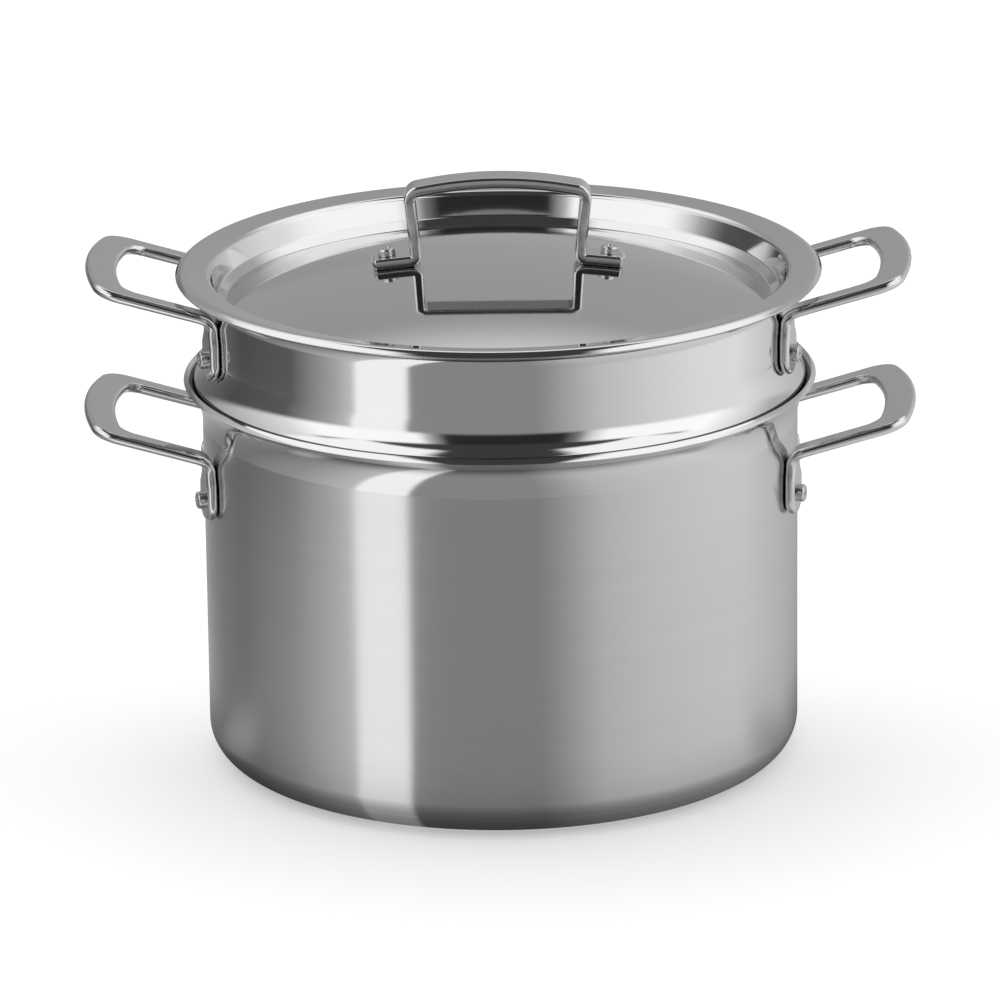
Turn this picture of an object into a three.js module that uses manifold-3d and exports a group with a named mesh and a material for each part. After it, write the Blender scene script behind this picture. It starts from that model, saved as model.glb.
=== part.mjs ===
// A covered stockpot with a lift-out strainer insert, in millimetres, +Z up.
// The origin is the centre of the pot's base, and the handles point along X.

import * as THREE from 'three';
import { mergeVertices } from 'three/addons/utils/BufferGeometryUtils.js';
import Module from 'manifold-3d';

// Gap kept between pieces that rest on or pass through one another
const seatGap = 0.3;

// Pot, drawn from one clad sheet
const potInnerRadius = 120;
const potWall = 2.5;
const potHeight = 160;
const potCornerRadius = 14;
const potFlareHeight = 16.5;
const potFlareReach = 7.5;

// Strainer insert, drawn from one thin sheet
// Below its band it leans out to a bead, and the bead hangs on the pot's flare
const insertWall = 1.2;
const insertRise = 43.4;
const insertBandCover = 0.4;
const insertFlareHeight = 12;
const insertFlareReach = 9.4;
const shoulderRadius = 20;
const shoulderAngle = THREE.MathUtils.degToRad(40);
const beadRadius = 2.2;
const beadSeatAngle = THREE.MathUtils.degToRad(39);
const beadUnderAngle = THREE.MathUtils.degToRad(45);
const neckRadius = 8;
const basketGap = 12;
const basketFloorGap = 10;
const basketCornerRadius = 12;

// Perforations of the basket
const holeRadius = 4;
const holeSides = 6;
const wallHolesPerRow = 16;
const wallHoleRows = 5;
const wallHoleMargin = 16;
const baseHoles = 8;
const baseHoleCircle = 0.45;

// Lid, measured from the rim that it rests on: edge, crest, brim, crease and trough, from outside in
const lidThickness = 1.5;
const lidOverhang = 2.7;
const lidEdgeDrop = 2;
const lidCrestInset = 2.5;
const lidCrestRise = 0.5;
const lidCrestBend = 4;
const lidBrimInset = 1.8;
const lidBrimDepth = 1.35;
const lidBrimBend = 3;
const lidCreaseInset = 5.1;
const lidCreaseDepth = 11;
const lidCreaseBend = 2;
const lidTroughInset = 3.3;
const lidTroughDepth = 14.2;
const lidTroughBend = 1.5;
const lidDomeRadius = 390;

// Side handles, two on the pot and two on the insert
const handleThickness = 4.2;
const handleWidth = 88;
const handleReach = 49.5;
const handleSlope = THREE.MathUtils.degToRad(15.8);
const handleArmWidth = 10;
const handleGripWidth = 13;
const handleGripBulge = 3;
const handleCornerRadius = 16;
const handleWindowRadius = 9;
const handleBend = 4;
const footWidth = 15;
const footHeight = 22;
const footRivetHeight = 9;
const potFootDrop = 51;
const lidHandleGap = 1.2;

// Lid handle, one bent strap
const strapThickness = 4;
const strapWidth = 13.5;
const strapHeight = 35;
const strapCrown = 3;
const strapTopSpan = 77;
const strapFootSpan = 71;
const strapTipSpan = 103;
const strapCornerBend = 4;
const strapFootBend = 5.5;
const strapRivetInset = 6.5;

// Rivets
const rivetShankRadius = 2.5;
const rivetHoleClearance = 0.25;
const rivetHeadRadius = 3.6;
const rivetHeadHeight = 3;
const rivetHeadBend = 1;
const rivetDimpleRadius = 1.3;
const rivetDimpleDepth = 0.8;
const rivetInnerHeadRadius = 4.5;
const rivetInnerHeadHeight = 1.2;
const rivetInnerHeadGap = 0.8;

// Fineness of round forms
const latheSegments = 40;
const rivetSegments = 10;
const bendStep = THREE.MathUtils.degToRad(20);
const bendLength = 14;
const domeSteps = 5;

// Heights and radii that follow from the sizes above
const potOuterRadius = potInnerRadius + potWall;
const potFootHeight = potHeight - potFootDrop;
const insertBase = potWall + basketFloorGap;
const insertRim = potHeight + insertRise;
const insertBandRadius = potInnerRadius + insertBandCover;
const basketRadius = potInnerRadius - basketGap;
const lidSeat = insertRim + insertWall + seatGap + lidThickness;
const lidRadius = insertBandRadius + insertFlareReach + lidOverhang;
const lidCrestRadius = lidRadius - lidCrestInset;
const lidBrimRadius = insertBandRadius - lidBrimInset;
const lidCreaseRadius = insertBandRadius - lidCreaseInset;
const lidTroughRadius = lidCreaseRadius - lidTroughInset;
const rivetHoleRadius = rivetShankRadius + rivetHoleClearance;

const wasm = await Module();
wasm.setup();

// Closed geometry to a solid, without the collapsed triangles that a lathe leaves on its axis
function toSolid(geometry) {
  const bare = geometry.clone();
  bare.deleteAttribute('normal');
  bare.deleteAttribute('uv');
  const merged = mergeVertices(bare, 1e-4);
  const corners = merged.index.array;
  const triVerts = [];
  for (let i = 0; i < corners.length; i += 3) {
    const [a, b, c] = corners.slice(i, i + 3);
    if (a !== b && b !== c && c !== a) triVerts.push(a, b, c);
  }
  return new wasm.Manifold(new wasm.Mesh({
    numProp: 3,
    vertProperties: new Float32Array(merged.attributes.position.array),
    triVerts: new Uint32Array(triVerts),
  }));
}

function toGeometry(solid) {
  const mesh = solid.getMesh();
  const geometry = new THREE.BufferGeometry();
  geometry.setAttribute('position', new THREE.BufferAttribute(new Float32Array(mesh.vertProperties), 3));
  geometry.setIndex(new THREE.BufferAttribute(new Uint32Array(mesh.triVerts), 1));
  geometry.computeVertexNormals();
  return geometry;
}

// A line through corners [x, y, bend radius], with each bend as an arc that its straights can hold
function bentLine(corners) {
  const at = corners.map(([x, y]) => new THREE.Vector2(x, y));
  const lengths = at.slice(1).map((p, i) => p.distanceTo(at[i]));
  const turns = at.map((p, i) => {
    if (i === 0 || i === at.length - 1) return 0;
    const before = p.clone().sub(at[i - 1]);
    const after = at[i + 1].clone().sub(p);
    return Math.atan2(before.cross(after), before.dot(after));
  });
  const wanted = corners.map(([, , bend = 0], i) => bend * Math.tan(Math.abs(turns[i]) / 2));
  const tangents = wanted.map((tangent, i) => {
    const sums = [];
    if (i > 0) sums.push(lengths[i - 1] / (wanted[i - 1] + tangent || 1));
    if (i < lengths.length) sums.push(lengths[i] / (wanted[i + 1] + tangent || 1));
    return tangent * Math.min(1, ...sums);
  });
  const line = [];
  at.forEach((p, i) => {
    if (tangents[i] === 0) {
      line.push(p);
      return;
    }
    const before = p.clone().sub(at[i - 1]).normalize();
    const after = at[i + 1].clone().sub(p).normalize();
    const start = p.clone().addScaledVector(before, -tangents[i]);
    const radius = tangents[i] / Math.tan(Math.abs(turns[i]) / 2);
    const side = Math.sign(turns[i]);
    const normal = new THREE.Vector2(-before.y, before.x).multiplyScalar(side);
    const centre = start.clone().addScaledVector(normal, radius);
    const turn = Math.abs(turns[i]);
    const steps = Math.max(2, Math.round(turn / bendStep), Math.round(turn * radius / bendLength));
    for (let step = 0; step <= steps; step += 1) {
      line.push(start.clone().rotateAround(centre, turns[i] * step / steps));
    }
    line[line.length - 1] = p.clone().addScaledVector(after, tangents[i]);
  });
  return line.filter((p, i) => i === 0 || p.distanceTo(line[i - 1]) > 1e-3);
}

// The same line moved sideways, to its left for a positive distance
function besideLine(line, distance) {
  return line.map((p, i) => {
    const before = (i > 0 ? p.clone().sub(line[i - 1]) : line[1].clone().sub(p)).normalize();
    const after = (i < line.length - 1 ? line[i + 1].clone().sub(p) : before.clone()).normalize();
    const middle = before.clone().add(after).normalize();
    const normal = new THREE.Vector2(-middle.y, middle.x);
    return p.clone().addScaledVector(normal, distance / middle.dot(before));
  });
}

// Outline of a bent sheet: one face out, the other face back
function sheetOutline(line, thickness) {
  const otherFace = besideLine(line, thickness).reverse();
  return [...line, ...otherFace];
}

// Solid of revolution about Z from an outline of [radius, height] that starts and ends on the axis
function turned(outline, segments) {
  const points = outline.map((p) => new THREE.Vector2(Math.max(0, p.x), p.y));
  points[0].x = 0;
  points[points.length - 1].x = 0;
  return new THREE.LatheGeometry(points, segments).rotateX(Math.PI / 2);
}

// The corner and end of a rim that leans out from a vertical wall along one arc
function rimFlare(radius, top, height, reach) {
  const tangent = (height ** 2 + reach ** 2) / (2 * height);
  const bend = (height ** 2 + reach ** 2) / (2 * reach);
  return [[radius, top - height + tangent, bend], [radius + reach, top]];
}

// A flat outline in the XZ plane, given thickness along Y about y = middle
function slab(outline, thickness, middle) {
  const shape = new THREE.Shape(outline);
  const geometry = new THREE.ExtrudeGeometry(shape, { depth: thickness, bevelEnabled: false });
  return geometry.rotateX(Math.PI / 2).translate(0, middle + thickness / 2, 0);
}

// Round bar along X between two stations, for rivet holes
function bore(from, to, radius, sides) {
  const bar = new THREE.CylinderGeometry(radius, radius, to - from, sides);
  return bar.rotateZ(Math.PI / 2).translate((from + to) / 2, 0, 0);
}

// Turn about Z from the middle of a side handle to each of its feet
function footAngle(wallRadius) {
  return Math.asin((handleWidth - footWidth) / 2 / (wallRadius + handleThickness));
}

// Where a side handle's top face begins, and its height above the feet at a distance from the axis
function loopStart(wallRadius) {
  return (wallRadius + seatGap + handleThickness + handleBend) * Math.cos(footAngle(wallRadius));
}
function handleTop(wallRadius, distance) {
  const rise = (distance - loopStart(wallRadius)) * Math.tan(handleSlope);
  return footHeight + (handleBend + handleThickness) / Math.cos(handleSlope) + rise;
}

// The insert's handles pass just under the lid's edge
const lidEdgeUnder = lidSeat - lidEdgeDrop - lidThickness;
const insertFootHeight = lidEdgeUnder - lidHandleGap - handleTop(insertBandRadius, lidRadius);

// The four rivet places on a wall: turn about Z of each foot
const rivetTurns = (wallRadius) => [
  ['left_front', Math.PI + footAngle(wallRadius)],
  ['left_rear', Math.PI - footAngle(wallRadius)],
  ['right_front', -footAngle(wallRadius)],
  ['right_rear', footAngle(wallRadius)],
];

function cutRivetHoles(solid, wallRadius, height) {
  let result = solid;
  for (const [, turn] of rivetTurns(wallRadius)) {
    const hole = bore(wallRadius / 2, wallRadius * 2, rivetHoleRadius, rivetSegments);
    result = result.subtract(toSolid(hole.rotateZ(turn).translate(0, 0, height)));
  }
  return result;
}

function potShell() {
  const outer = bentLine([
    [0, 0],
    [potOuterRadius, 0, potCornerRadius],
    ...rimFlare(potOuterRadius, potHeight, potFlareHeight, potFlareReach),
  ]);
  const shell = toSolid(turned(sheetOutline(outer, potWall), latheSegments));
  return toGeometry(cutRivetHoles(shell, potOuterRadius, potFootHeight + footRivetHeight));
}

// The insert's bead: its bend touches the inner face of the pot's flare
function beadCorner() {
  const flareBend = (potFlareHeight ** 2 + potFlareReach ** 2) / (2 * potFlareReach);
  const reach = flareBend + potWall + seatGap + beadRadius;
  const lean = (shoulderAngle - beadUnderAngle) / 2;
  const depth = beadRadius / Math.cos((shoulderAngle + beadUnderAngle) / 2);
  return new THREE.Vector2(
    potOuterRadius + flareBend - reach * Math.cos(beadSeatAngle) + depth * Math.cos(lean),
    potHeight - potFlareHeight + reach * Math.sin(beadSeatAngle) + depth * Math.sin(lean),
  );
}
const bead = beadCorner();
const shoulderCorner = bead.y + (bead.x - insertBandRadius) / Math.tan(shoulderAngle);
const neckCorner = bead.y - (bead.x - basketRadius) / Math.tan(beadUnderAngle);

// Outer face of the insert, from the middle of its base up to its rim
function insertLine() {
  return bentLine([
    [0, insertBase],
    [basketRadius, insertBase, basketCornerRadius],
    [basketRadius, neckCorner, neckRadius],
    [bead.x, bead.y, beadRadius],
    [insertBandRadius, shoulderCorner, shoulderRadius],
    ...rimFlare(insertBandRadius, insertRim, insertFlareHeight, insertFlareReach),
  ]);
}

// What the insert's handles keep clear of: its bead and shoulder, filled to the axis
function shoulderPlug() {
  const line = bentLine([
    [bead.x, bead.y],
    [insertBandRadius, shoulderCorner, shoulderRadius],
    [insertBandRadius, shoulderCorner + footHeight],
  ]);
  const outside = besideLine(line, -seatGap);
  const ends = [outside[0], outside[outside.length - 1]].map((p) => new THREE.Vector2(0, p.y));
  return toSolid(turned([ends[0], ...outside, ends[1]], latheSegments));
}

// Perforations in staggered rows round the basket's wall and in a circle through its base
function basketHoles() {
  const holes = [];
  const reach = basketRadius / 2;
  const lowest = insertBase + basketCornerRadius + wallHoleMargin;
  const highest = neckCorner - neckRadius - wallHoleMargin;
  for (let row = 0; row < wallHoleRows; row += 1) {
    const height = lowest + (highest - lowest) * row / (wallHoleRows - 1);
    const stagger = (row % 2) / 2;
    for (let i = 0; i < wallHolesPerRow; i += 1) {
      const hole = bore(basketRadius - reach, basketRadius + reach, holeRadius, holeSides);
      const turn = (i + stagger) * 2 * Math.PI / wallHolesPerRow;
      holes.push(hole.rotateZ(turn).translate(0, 0, height));
    }
  }
  for (let i = 0; i < baseHoles; i += 1) {
    const hole = bore(-reach, reach, holeRadius, holeSides).rotateY(Math.PI / 2);
    const turn = i * 2 * Math.PI / baseHoles;
    holes.push(hole.translate(baseHoleCircle * basketRadius, 0, insertBase).rotateZ(turn));
  }
  return holes;
}

function strainerInsert() {
  let shell = toSolid(turned(sheetOutline(insertLine(), insertWall), latheSegments));
  for (const hole of basketHoles()) shell = shell.subtract(toSolid(hole));
  return toGeometry(cutRivetHoles(shell, insertBandRadius, insertFootHeight + footRivetHeight));
}

// Height of the lid's dome, top face, at a distance from the axis
const domeSag = (radius) => lidDomeRadius - Math.sqrt(lidDomeRadius ** 2 - radius ** 2);
const lidApex = lidSeat - lidTroughDepth + domeSag(lidTroughRadius);
const domeTop = (radius) => lidApex - domeSag(radius);

// Where the lid handle's rivets stand on the dome, and how far the dome leans there
const lidRivetX = strapTipSpan / 2 - strapRivetInset;
const lidRivetLean = Math.asin(lidRivetX / lidDomeRadius);

function cutLidRivetHoles(solid) {
  let result = solid;
  for (const side of [-1, 1]) {
    const hole = bore(-strapHeight / 2, strapHeight / 2, rivetHoleRadius, rivetSegments);
    hole.rotateY(Math.PI / 2 + side * lidRivetLean);
    hole.translate(side * lidRivetX, 0, domeTop(lidRivetX));
    result = result.subtract(toSolid(hole));
  }
  return result;
}

function lidDisc() {
  const dome = [];
  for (let step = 0; step < domeSteps; step += 1) {
    const radius = lidTroughRadius * step / domeSteps;
    dome.push([radius, domeTop(radius)]);
  }
  const top = bentLine([
    ...dome,
    [lidTroughRadius, domeTop(lidTroughRadius), lidTroughBend],
    [lidCreaseRadius, lidSeat - lidCreaseDepth, lidCreaseBend],
    [lidBrimRadius, lidSeat - lidBrimDepth, lidBrimBend],
    [lidCrestRadius, lidSeat + lidCrestRise, lidCrestBend],
    [lidRadius, lidSeat - lidEdgeDrop],
  ]);
  const underside = besideLine(top, -lidThickness);
  const disc = toSolid(turned([...underside, ...[...top].reverse()], latheSegments));
  return toGeometry(cutLidRivetHoles(disc));
}

// Underside of the strap, from one foot's tip over the arch to the other's
function strapLine() {
  const seat = (x) => domeTop(x) + seatGap;
  const archTop = lidApex + strapHeight - strapThickness;
  const tip = strapTipSpan / 2;
  const foot = strapFootSpan / 2 - strapThickness;
  const corner = strapTopSpan / 2 - strapThickness;
  const half = [
    [tip, seat(tip)],
    [foot, seat(foot), strapFootBend],
    [corner, archTop - strapCrown, strapCornerBend],
  ];
  const mirrored = half.map(([x, z, bend]) => [-x, z, bend]).reverse();
  const crownBend = (corner ** 2 + strapCrown ** 2) / (2 * strapCrown);
  return bentLine([...half, [0, archTop + strapCrown, crownBend], ...mirrored]);
}

function lidHandle() {
  const strap = sheetOutline(strapLine(), -strapThickness);
  return toGeometry(cutLidRivetHoles(toSolid(slab(strap, strapWidth, 0))));
}

// Plan of the loop, along its own slope: two arms joined by a grip whose edges bulge outwards
function loopPlan(length) {
  const half = handleWidth / 2;
  const inside = half - handleArmWidth;
  const windowEnd = length - handleGripWidth;
  const bulgeBend = (span) => (span ** 2 + handleGripBulge ** 2) / (2 * handleGripBulge);
  return new THREE.Shape(bentLine([
    [0, -half],
    [length - handleGripBulge, -half, handleCornerRadius],
    [length, 0, bulgeBend(half)],
    [length - handleGripBulge, half, handleCornerRadius],
    [0, half],
    [0, inside],
    [windowEnd - handleGripBulge, inside, handleWindowRadius],
    [windowEnd, 0, bulgeBend(inside)],
    [windowEnd - handleGripBulge, -inside, handleWindowRadius],
    [0, -inside],
  ]));
}

// One side handle for a wall of the given radius, standing on z = 0 at the lower end of its feet
function sideHandle(wallRadius) {
  const turn = footAngle(wallRadius);
  const face = wallRadius + seatGap;
  const bendCentre = face + handleThickness + handleBend;
  const outerBend = handleBend + handleThickness;
  const [across, along] = [Math.sin(handleSlope), Math.cos(handleSlope)];

  const start = loopStart(wallRadius);
  const length = (wallRadius + handleReach - start + outerBend * across) / along;
  const loop = new THREE.ExtrudeGeometry(loopPlan(length), { depth: handleThickness, bevelEnabled: false });
  loop.translate(0, 0, handleBend).rotateY(-handleSlope).translate(start, 0, footHeight);
  let solid = toSolid(loop);

  // The elbow runs on into the arm by the sheet's thickness, and its outer edge ends on the arm's
  const elbowEnd = bendCentre - outerBend * across + handleThickness * along;
  const elbowTop = footHeight + outerBend * along + handleThickness * across;
  const elbowCorner = footHeight + outerBend * Math.tan((Math.PI / 2 - handleSlope) / 2);
  const elbowLine = bentLine([
    [face, footHeight - handleBend],
    [face, elbowCorner, outerBend],
    [elbowEnd, elbowTop],
  ]);
  const elbowEdge = (handleWidth / 2 - elbowEnd * Math.sin(turn)) / Math.cos(turn);
  const elbowMiddle = elbowEdge - handleArmWidth / 2;
  const tab = new THREE.Shape(bentLine([
    [-footWidth / 2, footHeight],
    [-footWidth / 2, 0, footWidth / 2],
    [footWidth / 2, 0, footWidth / 2],
    [footWidth / 2, footHeight],
  ]));
  for (const side of [-1, 1]) {
    const elbow = slab(sheetOutline(elbowLine, -handleThickness), handleArmWidth, side * elbowMiddle);
    const foot = new THREE.ExtrudeGeometry(tab, { depth: handleThickness, bevelEnabled: false });
    foot.rotateX(Math.PI / 2).rotateZ(Math.PI / 2).translate(face, 0, 0);
    const hole = bore(wallRadius / 2, wallRadius * 2, rivetHoleRadius, rivetSegments);
    hole.translate(0, 0, footRivetHeight);
    solid = solid.add(toSolid(elbow.rotateZ(side * turn)));
    solid = solid.add(toSolid(foot.rotateZ(side * turn)));
    solid = solid.subtract(toSolid(hole.rotateZ(side * turn)));
  }
  return toGeometry(solid);
}

// A rivet along X through everything between two faces, with its dimpled head outside
function rivet(innerFace, outerFace) {
  const inner = innerFace - rivetInnerHeadGap;
  const outer = outerFace + seatGap;
  const outline = bentLine([
    [0, inner - rivetInnerHeadHeight],
    [rivetInnerHeadRadius, inner - rivetInnerHeadHeight],
    [rivetInnerHeadRadius, inner],
    [rivetShankRadius, inner],
    [rivetShankRadius, outer],
    [rivetHeadRadius, outer],
    [rivetHeadRadius, outer + rivetHeadHeight - rivetHeadBend],
    [rivetHeadRadius - rivetHeadBend, outer + rivetHeadHeight],
    [rivetDimpleRadius, outer + rivetHeadHeight],
    [0, outer + rivetHeadHeight - rivetDimpleDepth],
  ]);
  return turned(outline, rivetSegments).rotateY(Math.PI / 2);
}

const satinSteel = { color: 0xb4b4b2, roughness: 0.38, metalness: 1 };
const polishedSteel = { color: 0xc9c9c8, roughness: 0.16, metalness: 1 };
const handleSteel = { color: 0xc4c4c3, roughness: 0.2, metalness: 1 };
const rivetSteel = { color: 0xbababa, roughness: 0.28, metalness: 1 };

function piece(name, geometry, finish) {
  const mesh = new THREE.Mesh(geometry, new THREE.MeshStandardMaterial(finish));
  mesh.name = name;
  return mesh;
}

// Handles and rivets of one wall, named after what carries them, with the handles eased round a plug
function handleSet(owner, wallRadius, wall, height, plug) {
  const set = new THREE.Group();
  let loop = toSolid(sideHandle(wallRadius));
  if (plug) loop = loop.subtract(plug.translate([0, 0, -height]));
  for (const [side, turn] of [['left', Math.PI], ['right', 0]]) {
    const handle = piece(`${owner}_handle_${side}`, toGeometry(loop), handleSteel);
    handle.rotation.z = turn;
    set.add(handle);
  }
  for (const [place, turn] of rivetTurns(wallRadius)) {
    const outerFace = wallRadius + seatGap + handleThickness;
    const pin = piece(`${owner}_rivet_${place}`, rivet(wallRadius - wall, outerFace), rivetSteel);
    pin.position.z = footRivetHeight;
    pin.rotation.z = turn;
    set.add(pin);
  }
  set.position.z = height;
  return set;
}

function lidRivets() {
  const set = new THREE.Group();
  for (const [side, sign] of [['left', -1], ['right', 1]]) {
    const pin = piece(`lid_rivet_${side}`, rivet(-lidThickness, seatGap + strapThickness), rivetSteel);
    pin.rotation.y = sign * lidRivetLean - Math.PI / 2;
    pin.position.set(sign * lidRivetX, 0, domeTop(lidRivetX));
    set.add(pin);
  }
  return set;
}

const pot = new THREE.Group();
pot.add(piece('pot_shell', potShell(), satinSteel));
pot.add(handleSet('pot', potOuterRadius, potWall, potFootHeight));

const insert = new THREE.Group();
insert.add(piece('strainer_insert', strainerInsert(), polishedSteel));
insert.add(handleSet('insert', insertBandRadius, insertWall, insertFootHeight, shoulderPlug()));

const lid = new THREE.Group();
lid.add(piece('lid_disc', lidDisc(), polishedSteel));
lid.add(piece('lid_handle', lidHandle(), handleSteel));
lid.add(lidRivets());

const stockpot = new THREE.Group();
stockpot.add(pot, insert, lid);

export default stockpot;
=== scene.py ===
import math

import bmesh
import bpy
from mathutils import Matrix, Vector


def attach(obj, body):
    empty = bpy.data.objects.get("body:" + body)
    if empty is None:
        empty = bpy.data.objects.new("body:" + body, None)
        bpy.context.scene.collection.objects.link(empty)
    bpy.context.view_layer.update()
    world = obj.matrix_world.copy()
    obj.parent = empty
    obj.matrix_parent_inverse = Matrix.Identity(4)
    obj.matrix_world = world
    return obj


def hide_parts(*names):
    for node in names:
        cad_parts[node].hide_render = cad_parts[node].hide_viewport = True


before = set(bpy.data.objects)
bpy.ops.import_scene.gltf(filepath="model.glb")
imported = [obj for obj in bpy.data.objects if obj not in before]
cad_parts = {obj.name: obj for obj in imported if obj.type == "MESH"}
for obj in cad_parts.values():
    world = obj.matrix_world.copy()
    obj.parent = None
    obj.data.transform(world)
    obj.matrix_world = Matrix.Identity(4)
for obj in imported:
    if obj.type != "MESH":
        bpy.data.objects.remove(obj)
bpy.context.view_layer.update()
print("frame loaded:", len(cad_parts), "solids")

mm = 0.001


# small tools for modelling

def dropSelection():
    if bpy.context.mode != "OBJECT":
        bpy.ops.object.mode_set(mode="OBJECT")
    bpy.ops.object.select_all(action="DESELECT")


def pick(piece):
    dropSelection()
    piece.select_set(True)
    bpy.context.view_layer.objects.active = piece


def roundedLine(corners, stepDegrees=6.0, guard=0.5, longest=6.0):
    # corners are (x, z) or (x, z, bend radius) in millimetres; each bend becomes an arc,
    # and neighbouring arcs must fit on the straight between them
    points = [Vector(c[:2]) for c in corners]
    ways = [(b - a).normalized() for a, b in zip(points, points[1:])]
    bends = []
    for i, corner in enumerate(corners):
        turn = tangent = 0.0
        if len(corner) > 2:
            into, out = ways[i - 1], ways[i]
            turn = math.atan2(into.x * out.y - into.y * out.x, into.dot(out))
            tangent = corner[2] * math.tan(abs(turn) / 2)
        bends.append((turn, tangent))
    line = []
    for i, here in enumerate(points):
        turn, tangent = bends[i]
        if turn == 0.0:
            line.append(here)
        else:
            into, bend = ways[i - 1], corners[i][2]
            start = here - into * tangent
            centre = start + Vector((-into.y, into.x)) * math.copysign(bend, turn)
            byAngle = math.degrees(abs(turn)) / stepDegrees
            steps = max(3, round(byAngle), round(abs(turn) * bend / longest))
            for k in range(steps + 1):
                line.append(centre + Matrix.Rotation(turn * k / steps, 2) @ (start - centre))
        if i < len(ways):
            # two more points keep a long straight straight in smooth shading
            after = bends[i + 1][1]
            if (points[i + 1] - here).length - tangent - after > 4 * guard:
                line.append(here + ways[i] * (tangent + guard))
                line.append(points[i + 1] - ways[i] * (after + guard))
    return line


def besideLine(line, distance):
    # the same line moved to its left
    moved = []
    for i, p in enumerate(line):
        before = (p - line[i - 1]).normalized() if i else (line[1] - p).normalized()
        after = (line[i + 1] - p).normalized() if i < len(line) - 1 else before
        middle = (before + after).normalized()
        moved.append(p + Vector((-middle.y, middle.x)) * distance / middle.dot(before))
    return moved


def spinLine(name, line, steps):
    # draws the line from one point by extruding, then spins it round the upright axis
    dropSelection()
    bpy.ops.mesh.primitive_plane_add(size=2 * mm, location=(line[0].x * mm, 0, line[0].y * mm))
    piece = bpy.context.object
    piece.name = piece.data.name = name
    bpy.ops.object.transform_apply(location=True, rotation=True, scale=True)
    bpy.ops.object.mode_set(mode="EDIT")
    bpy.ops.mesh.select_all(action="SELECT")
    bpy.ops.mesh.merge(type="CENTER")
    for a, b in zip(line, line[1:]):
        step = ((b.x - a.x) * mm, 0, (b.y - a.y) * mm)
        bpy.ops.mesh.extrude_region_move(TRANSFORM_OT_translate={"value": step})
    bpy.ops.mesh.select_all(action="SELECT")
    bpy.ops.mesh.spin(steps=steps, angle=2 * math.pi, center=(0, 0, 0), axis=(0, 0, 1))
    weld(piece)
    return piece


def weld(piece, distance=0.004):
    pick(piece)
    bpy.ops.object.mode_set(mode="EDIT")
    bpy.ops.mesh.select_all(action="SELECT")
    bpy.ops.mesh.remove_doubles(threshold=distance * mm)
    bpy.ops.mesh.normals_make_consistent(inside=False)
    bpy.ops.object.mode_set(mode="OBJECT")


def faceTowards(piece, place, direction):
    # turns the whole sheet over if its face nearest to a place looks the wrong way
    place, direction = Vector(place), Vector(direction)
    nearest = min(piece.data.polygons, key=lambda face: (face.center - place).length)
    if nearest.normal.dot(direction) < 0:
        pick(piece)
        bpy.ops.object.mode_set(mode="EDIT")
        bpy.ops.mesh.select_all(action="SELECT")
        bpy.ops.mesh.flip_normals()
        bpy.ops.object.mode_set(mode="OBJECT")


def addModifier(piece, kind, **settings):
    pick(piece)
    bpy.ops.object.modifier_add(type=kind)
    modifier = piece.modifiers[-1]
    for key, value in settings.items():
        setattr(modifier, key, value)
    bpy.ops.object.modifier_apply(modifier=modifier.name)


def thicken(piece, thickness):
    addModifier(piece, "SOLIDIFY", thickness=thickness * mm, offset=-1.0, use_even_offset=True)


def roundEdges(piece, edge, segments=3, degrees=50.0):
    addModifier(piece, "BEVEL", width=edge * mm, segments=segments, limit_method="ANGLE",
                angle_limit=math.radians(degrees), use_clamp_overlap=True)


def smooth(piece, degrees=40.0, flatFaces=False):
    pick(piece)
    bpy.ops.object.shade_smooth_by_angle(angle=math.radians(degrees))
    if flatFaces:
        addModifier(piece, "WEIGHTED_NORMAL", weight=60, keep_sharp=True)


def roundSection(corners, pulls, edge):
    # a flat bar's section with rounded edges, from its four corners;
    # pulls point inward from either edge
    outerTop, innerTop, outerLow, innerLow = corners
    turns = [math.radians(90 / 4 * k) for k in range(5)]
    sides = []
    for top, low, pull in ((outerTop, outerLow, pulls[0]), (innerTop, innerLow, pulls[1])):
        down = low - top
        bend = min(edge * mm, 0.48 * down.length)  # just under half of the thickness at most
        steps = []
        for a in turns:
            steps.append((bend * (1 - math.sin(a)), down.length - bend * (1 - math.cos(a))))
        for a in turns:
            steps.append((bend * (1 - math.cos(a)), bend * (1 - math.sin(a))))
        sides.append([top + down.normalized() * depth + pull * inset for inset, depth in steps])
    return sides[0] + sides[1][::-1]


def sweepBar(name, stations, edge):
    # extrudes the section from station to station, given in millimetres;
    # each end narrows to a line and is closed by welding
    dropSelection()
    bpy.ops.mesh.primitive_circle_add(  # as many points as roundSection gives
        vertices=20, radius=mm, fill_type="NOTHING")
    piece = bpy.context.object
    piece.name = piece.data.name = name
    bpy.ops.object.mode_set(mode="EDIT")
    bpy.ops.mesh.select_all(action="SELECT")
    for i, (corners, pulls) in enumerate(stations):
        if i:
            bpy.ops.mesh.extrude_region_move(TRANSFORM_OT_translate={"value": (0, 0, mm)})
        mesh = bmesh.from_edit_mesh(piece.data)
        ring = [v for v in mesh.verts if v.select]
        for vertex, point in zip(ring, roundSection([c * mm for c in corners], pulls, edge)):
            vertex.co = point
        bmesh.update_edit_mesh(piece.data)
    weld(piece)
    return piece


def mirrorStations(stations, flip):
    # the same stations on the other side, in reverse order
    mirrored = []
    for corners, pulls in reversed(stations):
        mirrored.append(([c * flip for c in corners], [p * flip for p in pulls]))
    return mirrored


def straightPulls(corners):
    across = (corners[1] - corners[0]).normalized()
    return across, -across


def copyPiece(piece, name, matrix):
    pick(piece)
    bpy.ops.object.duplicate(linked=False)
    copy = bpy.context.object
    copy.name = copy.data.name = name
    copy.matrix_world = matrix
    bpy.ops.object.transform_apply(location=True, rotation=True, scale=True)
    return copy


def settle(piece, body, node, slot, *finishes):
    piece.data.materials.clear()
    for finish in finishes:
        piece.data.materials.append(finish)
    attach(piece, body)
    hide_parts(node)


# finishes

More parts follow.
